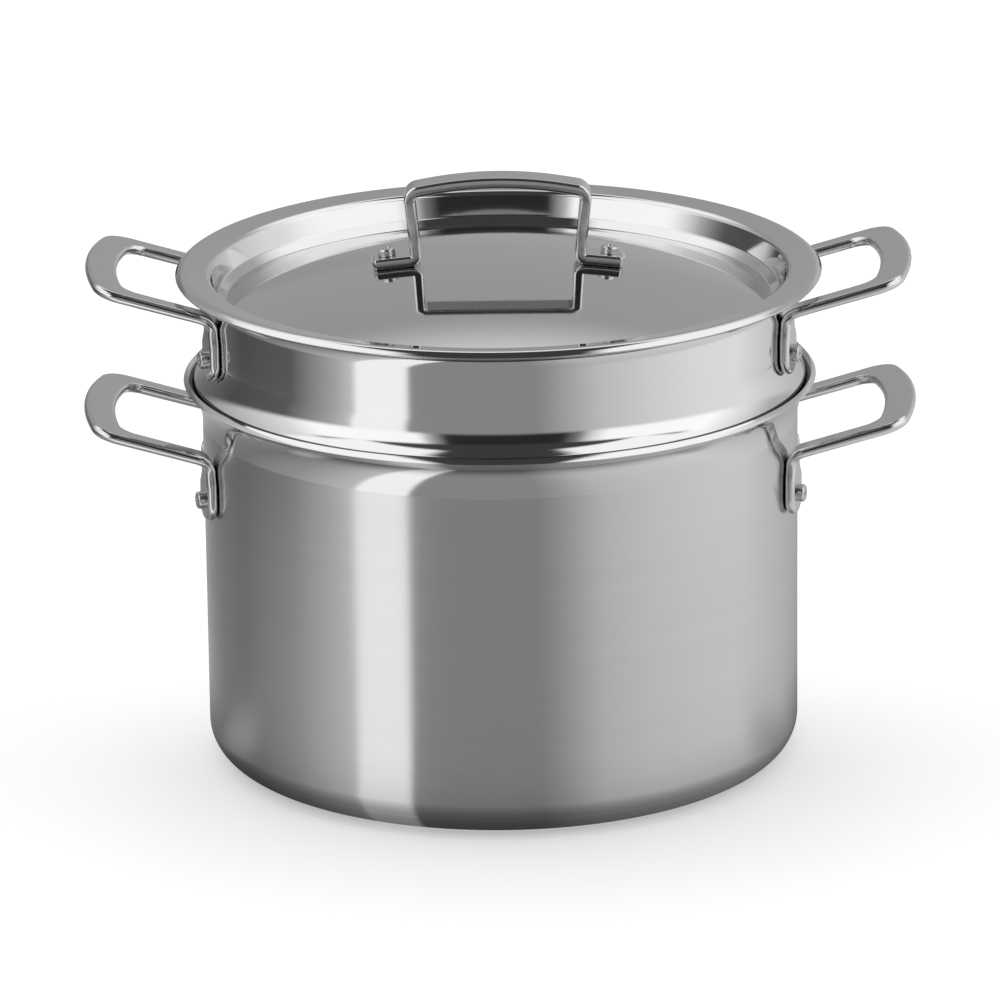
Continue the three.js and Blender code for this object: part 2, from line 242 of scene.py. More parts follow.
def newGroup(name, inputs, outputs):
    group = bpy.data.node_groups.new(name, "ShaderNodeTree")
    for label, kind, value in inputs:
        socket = group.interface.new_socket(name=label, in_out="INPUT", socket_type=kind)
        socket.default_value = value
    for label, kind in outputs:
        group.interface.new_socket(name=label, in_out="OUTPUT", socket_type=kind)
    return group, group.nodes.new("NodeGroupInput"), group.nodes.new("NodeGroupOutput")


def makeBrushLines():
    # fine lines that run level round the pot: quick change with height, slow change along
    group, take, give = newGroup(
        "brushLines",
        [("Fine", "NodeSocketFloat", 1800.0), ("Along", "NodeSocketFloat", 9.0)],
        [("Lines", "NodeSocketFloat"), ("Bands", "NodeSocketFloat")],
    )
    nodes, links = group.nodes, group.links
    place = nodes.new("ShaderNodeTexCoord")
    stretch = nodes.new("ShaderNodeCombineXYZ")
    links.new(take.outputs["Along"], stretch.inputs["X"])
    links.new(take.outputs["Along"], stretch.inputs["Y"])
    links.new(take.outputs["Fine"], stretch.inputs["Z"])
    scaled = nodes.new("ShaderNodeVectorMath")
    scaled.operation = "MULTIPLY"
    links.new(place.outputs["Object"], scaled.inputs[0])
    links.new(stretch.outputs["Vector"], scaled.inputs[1])
    lines = nodes.new("ShaderNodeTexNoise")
    lines.inputs["Scale"].default_value = 1.0
    lines.inputs["Detail"].default_value = 3.0
    lines.inputs["Roughness"].default_value = 0.65
    links.new(scaled.outputs["Vector"], lines.inputs["Vector"])
    links.new(lines.outputs["Fac"], give.inputs["Lines"])
    wide = nodes.new("ShaderNodeVectorMath")
    wide.operation = "MULTIPLY"
    wide.inputs[1].default_value = (0.5, 0.5, 0.06)
    links.new(scaled.outputs["Vector"], wide.inputs[0])
    bands = nodes.new("ShaderNodeTexNoise")
    bands.inputs["Scale"].default_value = 1.0
    bands.inputs["Detail"].default_value = 2.0
    links.new(wide.outputs["Vector"], bands.inputs["Vector"])
    links.new(bands.outputs["Fac"], give.inputs["Bands"])
    return group


def makeHandling():
    # faint cloudy marks that handling and wiping leave on polished metal
    group, take, give = newGroup(
        "handling",
        [("Size", "NodeSocketFloat", 22.0), ("Cover", "NodeSocketFloat", 0.5)],
        [("Marks", "NodeSocketFloat")],
    )
    nodes, links = group.nodes, group.links
    place = nodes.new("ShaderNodeTexCoord")
    cloud = nodes.new("ShaderNodeTexNoise")
    cloud.inputs["Detail"].default_value = 5.0
    cloud.inputs["Roughness"].default_value = 0.6
    cloud.inputs["Distortion"].default_value = 0.6
    links.new(place.outputs["Object"], cloud.inputs["Vector"])
    links.new(take.outputs["Size"], cloud.inputs["Scale"])
    level = nodes.new("ShaderNodeMapRange")
    level.inputs["To Min"].default_value = 0.0
    level.inputs["To Max"].default_value = 1.0
    level.inputs["From Max"].default_value = 0.85
    links.new(cloud.outputs["Fac"], level.inputs["Value"])
    links.new(take.outputs["Cover"], level.inputs["From Min"])
    links.new(level.outputs["Result"], give.inputs["Marks"])
    return group


brushLines = makeBrushLines()
handling = makeHandling()


def steelFinish(name, look):
    finish = bpy.data.materials.new(name)
    finish.use_nodes = True
    nodes, links = finish.node_tree.nodes, finish.node_tree.links
    shader = nodes["Principled BSDF"]
    shader.inputs["Metallic"].default_value = 1.0
    shader.inputs["Anisotropic"].default_value = look["anisotropic"]
    shader.inputs["Anisotropic Rotation"].default_value = 0.25
    if look["anisotropic"]:
        tangent = nodes.new("ShaderNodeTangent")
        tangent.direction_type = "RADIAL"
        tangent.axis = "Z"
        links.new(tangent.outputs["Tangent"], shader.inputs["Tangent"])

    brush = nodes.new("ShaderNodeGroup")
    brush.node_tree = brushLines
    brush.inputs["Fine"].default_value = look["fine"]
    brush.inputs["Along"].default_value = look["along"]
    marks = nodes.new("ShaderNodeGroup")
    marks.node_tree = handling

    tint = nodes.new("ShaderNodeMix")  # colour follows the brush lines a little
    tint.data_type = "RGBA"
    darker = [c * (1 - look["tint"]) for c in look["colour"]]
    lighter = [min(1, c * (1 + look["tint"])) for c in look["colour"]]
    tint.inputs["A"].default_value = (*darker, 1)
    tint.inputs["B"].default_value = (*lighter, 1)
    links.new(brush.outputs["Bands"], tint.inputs["Factor"])
    links.new(tint.outputs["Result"], shader.inputs["Base Color"])

    gloss = nodes.new("ShaderNodeMapRange")
    gloss.inputs["From Min"].default_value = 0.25
    gloss.inputs["From Max"].default_value = 0.75
    gloss.inputs["To Min"].default_value = look["roughness"] * (1 - look["spread"])
    gloss.inputs["To Max"].default_value = look["roughness"] * (1 + look["spread"])
    links.new(brush.outputs["Lines"], gloss.inputs["Value"])
    wiped = nodes.new("ShaderNodeMath")
    wiped.operation = "MULTIPLY_ADD"
    wiped.inputs[1].default_value = look["marks"]
    links.new(marks.outputs["Marks"], wiped.inputs[0])
    links.new(gloss.outputs["Result"], wiped.inputs[2])
    links.new(wiped.outputs["Value"], shader.inputs["Roughness"])

    bump = nodes.new("ShaderNodeBump")
    bump.inputs["Strength"].default_value = look["bump"]
    bump.inputs["Distance"].default_value = look["depth"] * mm
    links.new(brush.outputs["Lines"], bump.inputs["Height"])
    links.new(bump.outputs["Normal"], shader.inputs["Normal"])
    return finish


satinSteel = steelFinish("satinSteel", {
    "colour": (0.60, 0.60, 0.595), "tint": 0.03,
    "roughness": 0.21, "spread": 0.12, "anisotropic": 0.95,
    "fine": 2600.0, "along": 5.0, "marks": 0.01, "bump": 0.03, "depth": 0.02,
})
polishedSteel = steelFinish("polishedSteel", {
    "colour": (0.66, 0.66, 0.655), "tint": 0.02,
    "roughness": 0.075, "spread": 0.15, "anisotropic": 0.0,
    "fine": 1500.0, "along": 12.0, "marks": 0.03, "bump": 0.02, "depth": 0.01,
})
beadShadeSteel = steelFinish("beadShadeSteel", {  # painted shade: a dark line on the bead where it sits in the pot's rim, standing for the shadow in the gap between the two
    "colour": (0.10, 0.10, 0.098), "tint": 0.2,
    "roughness": 0.32, "spread": 0.2, "anisotropic": 0.0,
    "fine": 900.0, "along": 200.0, "marks": 0.05, "bump": 0.05, "depth": 0.01,
})
mirrorSteel = steelFinish("mirrorSteel", {
    "colour": (0.64, 0.64, 0.635), "tint": 0.02,
    "roughness": 0.055, "spread": 0.15, "anisotropic": 0.0,
    "fine": 900.0, "along": 25.0, "marks": 0.02, "bump": 0.01, "depth": 0.01,
})
handleSteel = steelFinish("handleSteel", {
    "colour": (0.63, 0.63, 0.625), "tint": 0.03,
    "roughness": 0.12, "spread": 0.2, "anisotropic": 0.0,
    "fine": 600.0, "along": 300.0, "marks": 0.04, "bump": 0.05, "depth": 0.01,
})
rivetSteel = steelFinish("rivetSteel", {
    "colour": (0.58, 0.58, 0.575), "tint": 0.04,
    "roughness": 0.22, "spread": 0.2, "anisotropic": 0.0,
    "fine": 700.0, "along": 700.0, "marks": 0.04, "bump": 0.08, "depth": 0.02,
})
print("finishes made")


# pot

pot = {
    "steps": 192, "radius": 122.5, "wall": 2.5, "height": 160.0, "corner": 14.0,
    "flareHeight": 16.5, "flareReach": 7.5, "lip": 0.7, "polishedFrom": 143.4,
}


def flareCorners(radius, top, height, reach):
    # a rim that leans out from an upright wall along one arc, which stops just short of the lip
    tangent = (height ** 2 + reach ** 2) / (2 * height)
    bend = (height ** 2 + reach ** 2) / (2 * reach)
    return [(radius, top - height + tangent, bend * 0.999), (radius + reach, top)]


def makePot():
    line = roundedLine([
        (0, 0),
        (pot["radius"], 0, pot["corner"]),
        *flareCorners(pot["radius"], pot["height"], pot["flareHeight"], pot["flareReach"]),
    ], stepDegrees=4.0)
    piece = spinLine("potShell", line, pot["steps"])
    faceTowards(piece, (pot["radius"] * mm, 0, pot["height"] / 2 * mm), (1, 0, 0))
    thicken(piece, pot["wall"])
    roundEdges(piece, pot["lip"])
    smooth(piece)
    settle(piece, "pot", "pot_shell", "pot_steel", satinSteel, polishedSteel)
    withinWall = (pot["radius"] - 0.6 * pot["wall"]) * mm
    for face in piece.data.polygons:
        # the flared rim and the inside are polished, the wall and base are satin
        inside = Vector((face.center.x, face.center.y)).length < withinWall
        upwards = face.normal.z > -0.5
        polished = face.center.z > pot["polishedFrom"] * mm or (inside and upwards)
        face.material_index = 1 if polished else 0


makePot()
print("pot made")


# strainer insert

strainer = {
    "tiles": 48, "rows": 6, "rowPitch": 15.0, "hole": 2.9, "holeSides": 16, "punchDepth": 6.0,
    "wall": 1.2, "base": 12.5, "rim": 203.4, "band": 120.4, "bandMiddle": 182.0,
    "flareHeight": 7.5, "flareReach": 9.4, "shoulder": 20.0, "shoulderAngle": math.radians(40),
    "bead": 2.2, "beadGap": 0.15, "beadSeat": math.radians(39), "beadUnder": math.radians(45),
    "shadeLine": (159.2, 161.5), "neck": 8.0, "basket": 108.0, "corner": 12.0, "lip": 0.22,
    "baseRings": (14.0, 28.0, 42.0, 56.0, 70.0, 84.0),
}


def beadCorner():
    # the bead's bend touches the inner face of the pot's flare
    flareBend = (pot["flareHeight"] ** 2 + pot["flareReach"] ** 2) / (2 * pot["flareReach"])
    reach = flareBend + pot["wall"] + strainer["beadGap"] + strainer["bead"]
    lean = (strainer["shoulderAngle"] - strainer["beadUnder"]) / 2
    depth = strainer["bead"] / math.cos((strainer["shoulderAngle"] + strainer["beadUnder"]) / 2)
    seat = strainer["beadSeat"]
    x = pot["radius"] + flareBend - reach * math.cos(seat)
    z = pot["height"] - pot["flareHeight"] + reach * math.sin(seat)
    return Vector((x + depth * math.cos(lean), z + depth * math.sin(lean)))


bead = beadCorner()
shoulderCorner = bead.y + (bead.x - strainer["band"]) / math.tan(strainer["shoulderAngle"])
neckCorner = bead.y - (bead.x - strainer["basket"]) / math.tan(strainer["beadUnder"])
shoulderTop = shoulderCorner + strainer["shoulder"] * math.tan(strainer["shoulderAngle"] / 2)


def shoulderReach(height):
    # how far the shoulder leans out beyond the band at a height
    bend = strainer["shoulder"]
    drop = min(max(0.0, shoulderTop - height), bend * math.sin(strainer["shoulderAngle"]))
    return bend - math.sqrt(bend ** 2 - drop ** 2)


def makePunchedWall(low):
    # one tile is a rectangle with a round hole; rows of them are rolled into the basket's wall
    half = math.pi * strainer["basket"] / strainer["tiles"]
    halfRow = strainer["rowPitch"] / 2
    dropSelection()
    bpy.ops.mesh.primitive_circle_add(
        vertices=strainer["holeSides"], radius=strainer["hole"] * mm, fill_type="NOTHING")
    wall = bpy.context.object
    wall.name = wall.data.name = "punchedWall"
    bpy.ops.object.mode_set(mode="EDIT")
    bpy.ops.mesh.select_all(action="SELECT")
    bpy.ops.mesh.extrude_region_move(TRANSFORM_OT_translate={"value": (0, 0, 0)})
    mesh = bmesh.from_edit_mesh(wall.data)
    for vertex in [v for v in mesh.verts if v.select]:
        # spread along the tile's edge, four steps to a side
        reach = max(abs(vertex.co.x), abs(vertex.co.y))
        shares = [math.atan(c / reach) / (math.pi / 4) for c in (vertex.co.x, vertex.co.y)]
        across, up = [round(2 * share) / 2 for share in shares]
        vertex.co = (across * half * mm, up * halfRow * mm, 0)
    bmesh.update_edit_mesh(wall.data)
    bpy.ops.mesh.select_all(action="SELECT")
    bpy.ops.mesh.duplicate_move(TRANSFORM_OT_translate={"value": (half * mm, 2 * halfRow * mm, 0)})
    bpy.ops.object.mode_set(mode="OBJECT")
    for count, step in (
        (strainer["tiles"], (2 * half * mm, 0, 0)),
        (strainer["rows"] // 2, (0, 4 * halfRow * mm, 0)),
    ):
        addModifier(wall, "ARRAY", count=count, use_relative_offset=False,
                    use_constant_offset=True, constant_offset_displace=step)
    radius = strainer["basket"] * mm
    for vertex in wall.data.vertices:
        turn = vertex.co.x / radius
        height = (low + halfRow) * mm + vertex.co.y
        vertex.co = (radius * math.cos(turn), radius * math.sin(turn), height)
    return wall


def makeBasePunch():
    # cylinders in rings, joined into one cutter for the holes through the base
    dropSelection()
    punches = []
    for ring, radius in enumerate((0.0,) + strainer["baseRings"]):
        count = max(1, 6 * ring)
        for k in range(count):
            turn = 2 * math.pi * k / count
            x, y = radius * mm * math.cos(turn), radius * mm * math.sin(turn)
            bpy.ops.mesh.primitive_cylinder_add(
                vertices=strainer["holeSides"], radius=strainer["hole"] * mm,
                depth=strainer["punchDepth"] * mm, location=(x, y, strainer["base"] * mm))
            punches.append(bpy.context.object)
    dropSelection()
    for punch in punches:
        punch.select_set(True)
    bpy.context.view_layer.objects.active = punches[0]
    bpy.ops.object.join()
    return bpy.context.object


def makeInsert():
    wallLow = strainer["base"] + strainer["corner"]
    wallHigh = neckCorner - strainer["neck"] * math.tan(strainer["beadUnder"] / 2)
    plain = (wallHigh - wallLow - strainer["rows"] * strainer["rowPitch"]) / 2
    steps = 4 * strainer["tiles"]

    lower = spinLine("strainerInsert", roundedLine([
        (0, strainer["base"]),
        (strainer["basket"], strainer["base"], strainer["corner"]),
        (strainer["basket"], wallLow + plain),
    ]), steps)
    upper = spinLine("upperInsert", roundedLine([
        (strainer["basket"], wallHigh - plain),
        (strainer["basket"], neckCorner, strainer["neck"]),
        (bead.x, bead.y, strainer["bead"]),
        (strainer["band"], shoulderCorner, strainer["shoulder"]),
        *flareCorners(strainer["band"], strainer["rim"],
                      strainer["flareHeight"], strainer["flareReach"]),
    ], stepDegrees=4.0, longest=1.5), steps)
    punched = makePunchedWall(wallLow + plain)

    pick(lower)
    upper.select_set(True)
    punched.select_set(True)
    bpy.ops.object.join()
    piece = bpy.context.object
    weld(piece, distance=0.02)
    faceTowards(piece, (strainer["band"] * mm, 0, strainer["bandMiddle"] * mm), (1, 0, 0))

    punch = makeBasePunch()
    thicken(piece, strainer["wall"])
    addModifier(piece, "BOOLEAN", operation="DIFFERENCE", object=punch, solver="EXACT")
    bpy.data.objects.remove(punch)
    roundEdges(piece, strainer["lip"], segments=2, degrees=60.0)
    smooth(piece)
    settle(piece, "insert", "strainer_insert", "insert_steel", polishedSteel, beadShadeSteel)
    # painted shade: the bead's outward faces between these heights take the dark finish, a shadow
    # line where the bead sits in the pot's rim
    low, high = [height * mm for height in strainer["shadeLine"]]
    for face in piece.data.polygons:
        outward = face.center.x * face.normal.x + face.center.y * face.normal.y > 0
        face.material_index = 1 if outward and low < face.center.z < high else 0


makeInsert()
print("strainer insert made")


# lid

lid = {
    "steps": 224, "thickness": 1.5, "seat": 206.4, "radius": 132.5, "edgeDrop": 2.0, "lip": 0.35,
    "crest": 130.0, "crestRise": 0.5, "crestBend": 4.0,
    "brim": 118.6, "brimDepth": 1.35, "brimBend": 3.0,
    "crease": 115.3, "creaseDepth": 11.0, "creaseBend": 1.8,
    "trough": 112.0, "troughDepth": 14.2, "troughBend": 0.9,
    "dome": 390.0, "domeRings": 30, "domeInset": 3.0,
}


def domeSag(radius):
    return lid["dome"] - math.sqrt(lid["dome"] ** 2 - radius ** 2)


lidApex = lid["seat"] - lid["troughDepth"] + domeSag(lid["trough"])


def domeTop(radius):
    return lidApex - domeSag(radius)


def makeLid():
    inner = lid["trough"] - lid["domeInset"]
    radii = [inner * k / lid["domeRings"] for k in range(lid["domeRings"] + 1)]
    dome = [(radius, domeTop(radius)) for radius in radii]
    rest = roundedLine([
        dome[-1],
        (lid["trough"], domeTop(lid["trough"]), lid["troughBend"]),
        (lid["crease"], lid["seat"] - lid["creaseDepth"], lid["creaseBend"]),
        (lid["brim"], lid["seat"] - lid["brimDepth"], lid["brimBend"]),
        (lid["crest"], lid["seat"] + lid["crestRise"], lid["crestBend"]),
        (lid["radius"], lid["seat"] - lid["edgeDrop"]),
    ], stepDegrees=4.0, guard=0.3)
    line = [Vector(p) for p in dome[:-1]] + rest
    piece = spinLine("lidDisc", line, lid["steps"])
    faceTowards(piece, (0, 0, lidApex * mm), (0, 0, 1))
    thicken(piece, lid["thickness"])
    roundEdges(piece, lid["lip"])
    smooth(piece, 50.0)
    settle(piece, "lid", "lid_disc", "lid_steel", mirrorSteel)


makeLid()
print("lid made")


# lid handle

strap = {
    "thickness": 4.6, "width": 13.5, "height": 35.0, "crown": 3.0, "crownShare": 0.8,
    "topSpan": 77.0, "footSpan": 71.0, "tipSpan": 103.0, "tipRound": 2.4,
    "cornerBend": 1.8, "footBend": 4.6, "edge": 1.3, "lift": 0.1, "rivetInset": 6.5,
}


def makeLidHandle():
    archTop = lidApex + strap["height"] - strap["thickness"]
    tip = strap["tipSpan"] / 2
    foot = strap["footSpan"] / 2 - strap["thickness"]
    corner = strap["topSpan"] / 2 - strap["thickness"]
    fullBend = (corner ** 2 + strap["crown"] ** 2) / (2 * strap["crown"])
    half = [
        (tip, domeTop(tip) + strap["lift"]),
        (foot, domeTop(foot) + strap["lift"], strap["footBend"]),
        (corner, archTop - strap["crown"], strap["cornerBend"]),
    ]
    crown = (0, archTop + strap["crown"], fullBend * strap["crownShare"])
    otherHalf = [(-c[0], *c[1:]) for c in reversed(half)]
    under = roundedLine([*half, crown, *otherHalf], stepDegrees=8.0, longest=4.0)
    over = besideLine(under, -strap["thickness"])
    y = strap["width"] / 2
    inward = (under[1] - under[0]).normalized()
    pull = Vector((inward.x, 0, inward.y))
    tips = []
    for degrees in (0, 15, 30, 45, 60, 75):  # the foot's end is a flat half oval
        angle = math.radians(degrees)
        shift = inward * strap["tipRound"] * (1 - math.cos(angle))
        ends = (under[0] + shift, over[0] + shift)
        corners = [Vector((p.x, side * math.sin(angle), p.y)) for p in ends for side in (-y, y)]
        ahead = pull * y * math.cos(angle)
        leans = []
        for side in (1, -1):
            lean = ahead + Vector((0, side, 0)) * strap["tipRound"] * math.sin(angle)
            leans.append(lean.normalized())
        tips.append((corners, leans))
    stations = list(tips)
    for pair in zip(under[2:-2], over[2:-2]):
        corners = [Vector((p.x, side, p.y)) for p in pair for side in (-y, y)]
        stations.append((corners, straightPulls(corners)))
    stations += mirrorStations(tips, Vector((-1, 1, 1)))
    piece = sweepBar("lidHandle", stations, strap["edge"])
    smooth(piece, 45.0, flatFaces=True)
    settle(piece, "lid", "lid_handle", "handle_steel", handleSteel)


makeLidHandle()
print("lid handle made")


# side handles, shaped as stations along one half and mirrored for the other

loop = {
    "thickness": 4.2, "width": 88.0, "reach": 49.5, "slope": math.radians(15.8),
    "arm": 10.0, "grip": 13.0, "bulge": 135.0, "tipDrop": 1.6, "corner": 11.5, "window": 8.0,
    "bend": 4.0, "foot": 15.0, "footHeight": 22.0, "widenFrom": 14.0, "rivetHeight": 9.0,
    "gap": 0.08, "edge": 1.95, "potFoot": 109.0, "insertFoot": 168.5,
    "footSteps": 6, "elbowSteps": 12, "armSteps": 4, "cornerSteps": 10, "gripSteps": 6,
}


def footTurn(wall):
    return math.asin((loop["width"] - loop["foot"]) / 2 / (wall + loop["thickness"]))


def mix(a, b, t):
    return a + (b - a) * t


def ease(t):
    return t * t * (3 - 2 * t)


def handleStations(wall, leanOut):
    turn = footTurn(wall)
    thick, bend = loop["thickness"], loop["bend"]
    outerBend = bend + thick
    face = wall + loop["gap"]
    centre = face + thick + bend
    start = centre * math.cos(turn)
    rise = loop["footHeight"]
    across, along = math.sin(loop["slope"]), math.cos(loop["slope"])
    half = loop["width"] / 2
    inside = half - loop["arm"]
    outward = Vector((math.cos(turn), -math.sin(turn), 0))
    aside = Vector((-math.sin(turn), -math.cos(turn), 0))

    def onFoot(distance, sideways, height):
        return outward * distance + aside * sideways + Vector((0, 0, height))

    def section(make, pulls=None):
        # outer and inner edge of the top face, then of the lower face
        corners = [make(edge, top) for top in (True, False) for edge in (0, 1)]
        return corners, pulls or straightPulls(corners)

    stations = []
    footRound = loop["foot"] / 2
    for degrees in (0, 15, 30, 45, 60, 75, 90):
        angle = math.radians(degrees)
        w, height = footRound * math.sin(angle), footRound * (1 - math.cos(angle))
        back = face + leanOut(height)  # the foot's back is eased round the insert's shoulder
        upward = Vector((0, 0, math.cos(angle)))
        pulls = [aside * side * math.sin(angle) + upward for side in (-1, 1)]

        def onEnd(edge, top):
            return onFoot(back if top else face + thick, -w if edge else w, height)

        stations.append(section(onEnd, pulls))
    elbowEnd = centre - outerBend * across + thick * along
    edgeOut = (half - elbowEnd * math.sin(turn)) / math.cos(turn)
    edgeIn = edgeOut - loop["arm"]
    for k in range(1, loop["footSteps"] + 1):
        share = k / loop["footSteps"]
        height = mix(loop["widenFrom"], rise, share)
        sides = mix(footRound, edgeOut, ease(share)), mix(-footRound, edgeIn, ease(share))

        def onUpperFoot(edge, top):
            return onFoot(face if top else face + thick, sides[edge], height)

        stations.append(section(onUpperFoot))
    bendTurn = math.pi / 2 - loop["slope"]
    for k in range(1, loop["elbowSteps"] + 1):
        angle = bendTurn * k / loop["elbowSteps"]
        t = ease(k / loop["elbowSteps"])

        def onElbow(edge, top):
            radius = outerBend if top else bend
            height = rise + radius * math.sin(angle)
            turned = onFoot(centre - radius * math.cos(angle), (edgeOut, edgeIn)[edge], height)
            straight = Vector((start - radius * math.cos(angle), -(half, inside)[edge], height))
            return mix(turned, straight, t)

        stations.append(section(onElbow))

    def onPlan(out, y, top):
        offset = outerBend if top else bend
        x = start + out * along - offset * across
        return Vector((x, y, rise + out * across + offset * along))

    length = (wall + loop["reach"] - start + outerBend * across) / along
    apex = length - loop["tipDrop"]
    hub = apex - loop["bulge"]
    edges = []
    for y, corner, bulge in (
        (half, loop["corner"], loop["bulge"]),
        (inside, loop["window"], loop["bulge"] - loop["grip"]),
    ):
        middle = hub + math.sqrt((bulge - corner) ** 2 - (y - corner) ** 2)
        lean = math.atan2(y - corner, middle - hub)
        edges.append({"y": y, "corner": corner, "bulge": bulge, "middle": middle, "lean": lean})
    for k in range(1, loop["armSteps"]):

        def onArm(edge, top):
            line = edges[edge]
            return onPlan(line["middle"] * k / loop["armSteps"], -line["y"], top)

        stations.append(section(onArm))
    for k in range(loop["cornerSteps"] + 1):

        def onCorner(edge, top):
            line = edges[edge]
            angle = (math.pi / 2 - line["lean"]) * k / loop["cornerSteps"]
            out = line["middle"] + line["corner"] * math.sin(angle)
            y = -(line["y"] - line["corner"]) - line["corner"] * math.cos(angle)
            return onPlan(out, y, top)

        stations.append(section(onCorner))
    for k in range(1, loop["gripSteps"] + 1):

        def onGrip(edge, top):
            line = edges[edge]
            angle = line["lean"] * (1 - k / loop["gripSteps"])
            out = hub + line["bulge"] * math.cos(angle)
            return onPlan(out, -line["bulge"] * math.sin(angle), top)

        stations.append(section(onGrip))
    return stations + mirrorStations(stations[:-1], Vector((1, -1, 1)))


def makeHandlePair(owner, wall, height, leanOut):
    model = sweepBar(owner + "HandleRight", handleStations(wall, leanOut), loop["edge"])
    smooth(model, 45.0, flatFaces=True)
    lift = Matrix.Translation((0, 0, height * mm))
    left = copyPiece(model, owner + "HandleLeft", lift @ Matrix.Rotation(math.pi, 4, "Z"))
    pick(model)
    model.matrix_world = lift
    bpy.ops.object.transform_apply(location=True, rotation=True, scale=True)
    settle(model, owner, owner + "_handle_right", "handle_steel", handleSteel)
    settle(left, owner, owner + "_handle_left", "handle_steel", handleSteel)


makeHandlePair("pot", pot["radius"], loop["potFoot"], lambda height: 0.0)
makeHandlePair("insert", strainer["band"], loop["insertFoot"],
               lambda height: shoulderReach(loop["insertFoot"] + height))
print("side handles made")


# rivets

rivet = {
    "steps": 40, "shank": 2.5, "head": 3.6, "headHeight": 3.0, "headBend": 1.0,
    "dimple": 1.35, "dimpleDepth": 0.9, "dimpleFloor": 0.75, "dimpleBend": 0.25,
    "innerHead": 4.5, "innerHeight": 1.2, "innerBend": 1.1,
}


def makeRivet(name, under, over):
    # stands upright, from the inner face at under to the foot's outer face at over
    low = under - rivet["innerHeight"]
    top = over + rivet["headHeight"]
    floor = top - rivet["dimpleDepth"]
    line = roundedLine([
        (0, low),
        (rivet["innerHead"], low, rivet["innerBend"]),
        (rivet["innerHead"], under),
        (rivet["shank"], under),
        (rivet["shank"], over),
        (rivet["head"], over),
        (rivet["head"], top, rivet["headBend"]),
        (rivet["dimple"], top, rivet["dimpleBend"]),
        (rivet["dimple"] * rivet["dimpleFloor"], floor, rivet["dimpleBend"]),
        (0, floor),
    ], stepDegrees=15.0, guard=0.1)
    piece = spinLine(name, line, rivet["steps"])
    smooth(piece)
    return piece


def rivetAt(model, name, body, node, matrix):
    settle(copyPiece(model, name, matrix), body, node, "rivet_steel", rivetSteel)


def makeWallRivets(owner, wall, sheet, height):
    model = makeRivet("rivetModel", -sheet, loop["gap"] + loop["thickness"])
    turn = footTurn(wall)
    lift = Matrix.Translation((0, 0, (height + loop["rivetHeight"]) * mm))
    out = Matrix.Translation((wall * mm, 0, 0)) @ Matrix.Rotation(math.pi / 2, 4, "Y")
    for label, node, angle in (
        ("RivetLeftFront", "left_front", math.pi + turn),
        ("RivetLeftRear", "left_rear", math.pi - turn),
        ("RivetRightFront", "right_front", -turn),
        ("RivetRightRear", "right_rear", turn),
    ):
        spot = lift @ Matrix.Rotation(angle, 4, "Z") @ out
        rivetAt(model, owner + label, owner, f"{owner}_rivet_{node}", spot)
    bpy.data.objects.remove(model)


def makeLidRivets():
    model = makeRivet("rivetModel", -lid["thickness"], strap["lift"] + strap["thickness"])
    x = strap["tipSpan"] / 2 - strap["rivetInset"]
    lean = math.asin(x / lid["dome"])
    for label, node, side in (
        ("lidRivetLeft", "lid_rivet_left", -1),
        ("lidRivetRight", "lid_rivet_right", 1),
    ):
        spot = Matrix.Translation((side * x * mm, 0, domeTop(x) * mm))
        rivetAt(model, label, "lid", node, spot @ Matrix.Rotation(side * lean, 4, "Y"))
    bpy.data.objects.remove(model)


makeWallRivets("pot", pot["radius"], pot["wall"], loop["potFoot"])
makeWallRivets("insert", strainer["band"], strainer["wall"], loop["insertFoot"])
makeLidRivets()
print("rivets made")


# studio

studio = {
    "floorSize": 9.0, "floorColour": 0.66, "floorGlow": 0.39, "brightest": 2.0,
    "sun": 1.2, "sunAngle": 50.0, "sunTilt": (-18, -4),
    "cardInner": 0.10, "cardOuter": 6.6, "cardSides": 128, "cardLift": 0.0004,
    "cardNear": (0.085, 0.195), "cardFar": (0.5, 0.7), "fan": 0.5,
    "patch": (0.160, -0.02), "patchSize": (0.010, 0.040), "patchLevel": 0.55,
    "box": 1.35, "boxWidth": 1.30, "boxFront": -0.78, "boxBack": 1.0, "boxFade": 0.45,
    "slot": (0.32, 0.46), "slotBack": (0.45, 0.65), "edge": 0.06, "horizon": 0.02,
    "wallsFrom": (0.14, 0.28), "stripTop": (0.54, 0.60),
    "gap": 0.06, "gapFront": (0.02, 0.20), "gapTop": (0.80, 0.92),
    # brightness by bearing: 0 is the left, 0.25 the camera's side, 0.5 the right, 0.75 the back
    "walls": (
        (0.000, 1.10), (0.018, 1.25), (0.040, 1.45), (0.160, 1.40), (0.172, 0.60),
        (0.184, 0.25), (0.192, 0.03), (0.318, 0.03), (0.335, 0.25), (0.352, 1.00),
        (0.370, 1.40), (0.500, 1.45), (0.530, 1.20), (0.560, 1.00), (0.600, 0.60),
        (0.650, 0.50), (0.750, 0.44), (0.850, 0.42), (0.920, 0.70), (1.000, 1.05),
    ),
    "ground": (
        (0.000, 0.40), (0.060, 0.62), (0.084, 0.72), (0.090, 1.30), (0.147, 1.30), (0.153, 0.34),
        (0.290, 0.34), (0.305, 0.40), (0.358, 0.66), (0.417, 0.76), (0.483, 0.82), (0.547, 0.86),
        (0.586, 0.80), (0.650, 0.68), (0.750, 0.43), (0.833, 0.28), (0.908, 0.24), (1.000, 0.40),
    ),
    "farGround": (
        (0.000, 0.14), (0.060, 0.50), (0.084, 0.75), (0.090, 1.30), (0.147, 1.30), (0.153, 0.34),
        (0.290, 0.34), (0.305, 0.42), (0.358, 0.72), (0.417, 0.88), (0.483, 1.02), (0.547, 1.05),
        (0.586, 0.90), (0.650, 0.70), (0.750, 0.43), (0.833, 0.20), (0.908, 0.10), (1.000, 0.14),
    ),
}


def greyLevel(level):
    return (*[level / studio["brightest"]] * 3, 1)


